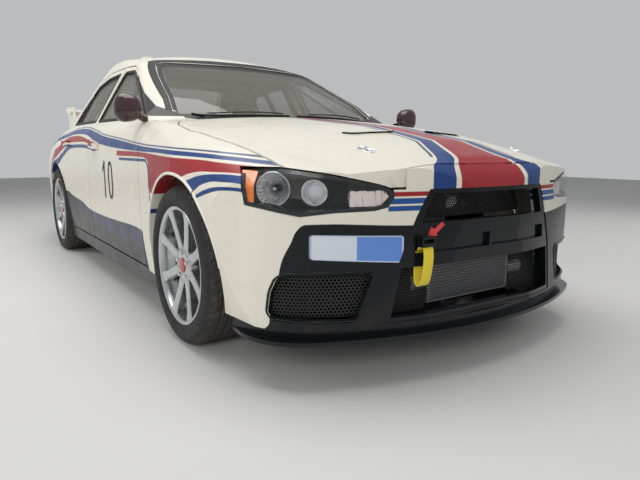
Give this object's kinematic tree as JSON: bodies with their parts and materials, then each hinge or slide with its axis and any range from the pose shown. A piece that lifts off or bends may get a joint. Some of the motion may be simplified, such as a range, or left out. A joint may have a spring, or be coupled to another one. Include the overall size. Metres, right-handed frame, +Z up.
{
  "type": "rally saloon car",
  "caption": "Road-going rally saloon with opening doors, bonnet and boot lid, turning wheels and front-wheel steering.",
  "frame": {"origin": "on the ground under the middle of the car's length and width", "axes": "+X forward, +Y to the car's left, +Z up"},
  "size_m": [4.5298, 1.898, 1.4248],
  "materials": {
    "body_paint": "gloss cream white with red and blue bands",
    "black_trim": "gloss black",
    "matte_black": "matt black",
    "glass": "clear laminated glass",
    "lamp_glass": "clear lens",
    "tail_lens": "red lens",
    "lamp_body": "bright reflector",
    "wheel_alloy": "silver paint",
    "tyre_rubber": "rubber",
    "chassis_steel": "satin grey",
    "engine_metal": "cast",
    "cage_tube": "satin grey paint",
    "seat_shell": "laminate",
    "seat_fabric": "woven cloth",
    "flap_rubber": "sheet"
  },
  "bodies": {
    "root": {"body_shell": "body_paint", "floor_pan": "chassis_steel", "front_wings": "body_paint", "front_bumper": "body_paint", "rear_bumper": "body_paint", "splitter": "black_trim", "grille": "black_trim", "duct_grilles": "matte_black", "headlamp_lenses": "lamp_glass", "headlamp_housings": "lamp_body", "tail_lamps": "tail_lens", "screens": "glass", "seats": "seat_shell", "seat_cushions": "seat_fabric", "dashboard": "matte_black", "roll_cage": "cage_tube", "engine_block": "engine_metal", "intercooler": "engine_metal", "sump_guard": "engine_metal", "front_subframe": "chassis_steel", "rear_subframe": "chassis_steel", "mud_flaps": "flap_rubber", "exhaust": "engine_metal"},
    "bonnet": {"bonnet": "body_paint"},
    "boot_lid": {"boot_lid": "body_paint", "rear_wing": "body_paint"},
    "steering_wheel": {"steering_wheel": "matte_black"},
    "door_front_left": {"door_front_left": "body_paint", "glass_front_left": "glass", "mirror_left": "black_trim"},
    "door_rear_left": {"door_rear_left": "body_paint", "glass_rear_left": "glass"},
    "knuckle_left": {"knuckle_left": "chassis_steel"},
    "wheel_front_left": {"wheel_front_left": "wheel_alloy", "tyre_front_left": "tyre_rubber"},
    "wheel_rear_left": {"wheel_rear_left": "wheel_alloy", "tyre_rear_left": "tyre_rubber"},
    "door_front_right": {"door_front_right": "body_paint", "glass_front_right": "glass", "mirror_right": "black_trim"},
    "door_rear_right": {"door_rear_right": "body_paint", "glass_rear_right": "glass"},
    "knuckle_right": {"knuckle_right": "chassis_steel"},
    "wheel_front_right": {"wheel_front_right": "wheel_alloy", "tyre_front_right": "tyre_rubber"},
    "wheel_rear_right": {"wheel_rear_right": "wheel_alloy", "tyre_rear_right": "tyre_rubber"}
  },
  "joints": [
    {"name": "door_front_left_hinge", "type": "hinge", "parent": "root", "child": "door_front_left", "pos_m": [0.935, 0.872, 0.6], "axis": [0, 0, 1], "range_deg": [-65, 0]},
    {"name": "door_rear_left_hinge", "type": "hinge", "parent": "root", "child": "door_rear_left", "pos_m": [-0.149, 0.866, 0.6], "axis": [0, 0, 1], "range_deg": [-65, 0]},
    {"name": "door_front_right_hinge", "type": "hinge", "parent": "root", "child": "door_front_right", "pos_m": [0.935, -0.872, 0.6], "axis": [0, 0, 1], "range_deg": [0, 65]},
    {"name": "door_rear_right_hinge", "type": "hinge", "parent": "root", "child": "door_rear_right", "pos_m": [-0.149, -0.866, 0.6], "axis": [0, 0, 1], "range_deg": [0, 65]},
    {"name": "bonnet_hinge", "type": "hinge", "parent": "root", "child": "bonnet", "pos_m": [0.95, 0, 0.943], "axis": [0, -1, 0], "range_deg": [0, 50]},
    {"name": "boot_lid_hinge", "type": "hinge", "parent": "root", "child": "boot_lid", "pos_m": [-1.665, 0, 0.946], "axis": [0, 1, 0], "range_deg": [0, 62]},
    {"name": "steer_left", "type": "hinge", "parent": "root", "child": "knuckle_left", "pos_m": [1.392, 0.745, 0.325], "axis": [0, 0, 1], "range_deg": [-30, 30]},
    {"name": "steer_right", "type": "hinge", "parent": "root", "child": "knuckle_right", "pos_m": [1.392, -0.745, 0.325], "axis": [0, 0, 1], "range_deg": [-30, 30]},
    {"name": "steering_wheel_turn", "type": "hinge", "parent": "root", "child": "steering_wheel", "pos_m": [0.3, 0.385, 0.815], "axis": [-0.9511, 0, 0.309], "range_deg": [-330, 330]},
    {"name": "wheel_front_left_spin", "type": "hinge", "parent": "knuckle_left", "child": "wheel_front_left", "pos_m": [1.392, 0.772, 0.325], "axis": [0, 1, 0], "continuous": true},
    {"name": "wheel_front_right_spin", "type": "hinge", "parent": "knuckle_right", "child": "wheel_front_right", "pos_m": [1.392, -0.772, 0.325], "axis": [0, 1, 0], "continuous": true},
    {"name": "wheel_rear_left_spin", "type": "hinge", "parent": "root", "child": "wheel_rear_left", "pos_m": [-1.258, 0.772, 0.325], "axis": [0, 1, 0], "continuous": true},
    {"name": "wheel_rear_right_spin", "type": "hinge", "parent": "root", "child": "wheel_rear_right", "pos_m": [-1.258, -0.772, 0.325], "axis": [0, 1, 0], "continuous": true}
  ],
  "couplings": [
    {"joint": "steer_right", "follows": "steer_left", "ratio": 1},
    {"joint": "steering_wheel_turn", "follows": "steer_left", "ratio": 11}
  ]
}
